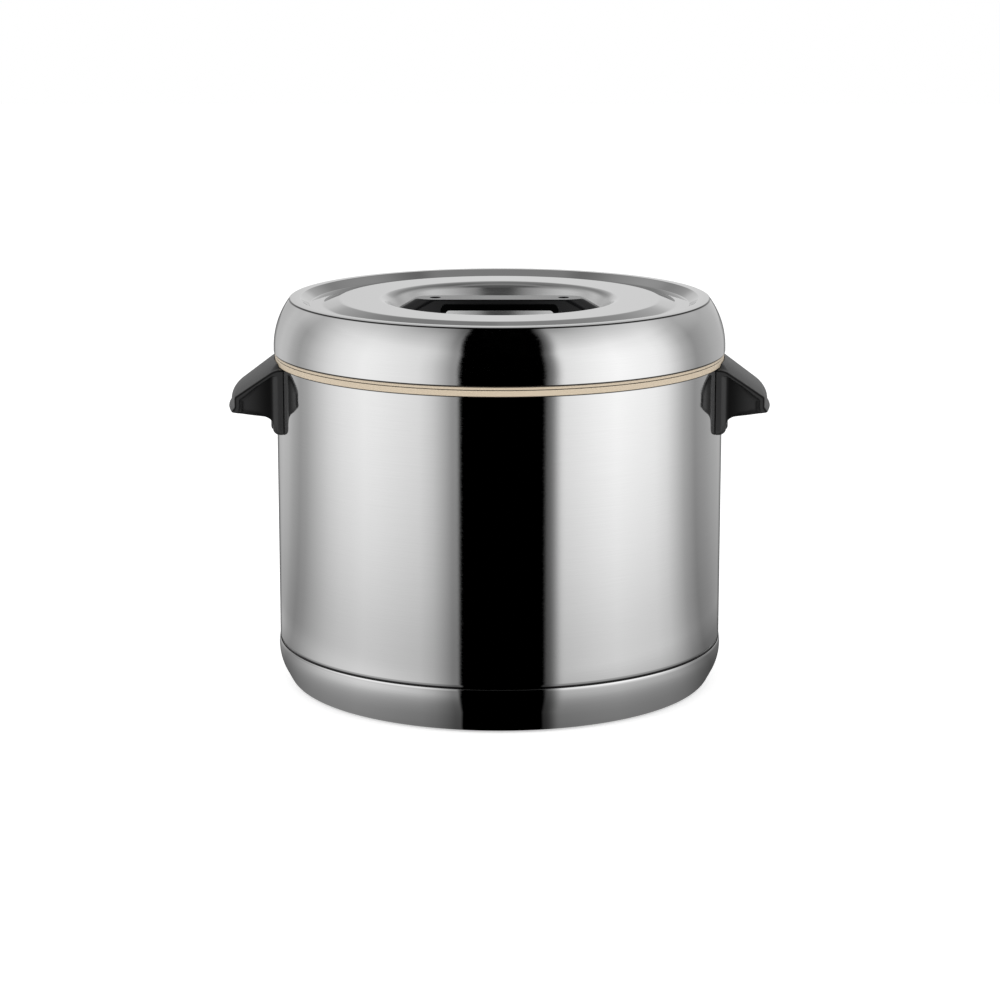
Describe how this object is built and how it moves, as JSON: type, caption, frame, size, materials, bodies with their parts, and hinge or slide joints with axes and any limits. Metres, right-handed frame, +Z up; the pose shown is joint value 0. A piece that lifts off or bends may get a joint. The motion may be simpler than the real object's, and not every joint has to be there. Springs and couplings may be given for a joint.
{
  "type": "insulated rice warmer",
  "caption": "Round double-walled steel rice warmer with a domed lift-off lid, a bridge handle sunk in the lid's well, cream rim rings and black side handles.",
  "frame": {"origin": "centre of the base, on the surface it stands on", "axes": "+Z up through the middle of the pot and lid; X runs through the two side handles, and -Y is the front"},
  "size_m": [0.4364, 0.3642, 0.3157],
  "materials": {
    "steel": "polished",
    "pot_steel": "satin",
    "fastener_steel": "satin",
    "cream_plastic": "satin",
    "black_plastic": "satin",
    "silicone": "matte",
    "foam": "matte"
  },
  "bodies": {
    "container": {"base_pan": "steel", "outer_shell": "steel", "joint_band": "steel", "inner_pot": "pot_steel", "rim_collar": "cream_plastic", "rim_bead": "silicone", "base_insulation": "foam", "wall_insulation": "foam", "right_handle": "black_plastic", "left_handle": "black_plastic", "right_handle_plate": "fastener_steel", "left_handle_plate": "fastener_steel", "handle_screws": "fastener_steel", "handle_washers": "fastener_steel", "handle_nuts": "fastener_steel"},
    "lid": {"lid_cover": "steel", "lid_ring": "cream_plastic", "lid_seal": "silicone", "lid_liner": "pot_steel", "lid_insulation": "foam", "lid_handle": "black_plastic", "lid_handle_plate": "fastener_steel", "lid_handle_screws": "fastener_steel", "lid_handle_washers": "fastener_steel", "lid_handle_nuts": "fastener_steel"}
  },
  "joints": [
    {"name": "lid_lift", "type": "slide", "parent": "container", "child": "lid", "axis": [0, 0, 1], "range_m": [0, 0.15]}
  ]
}
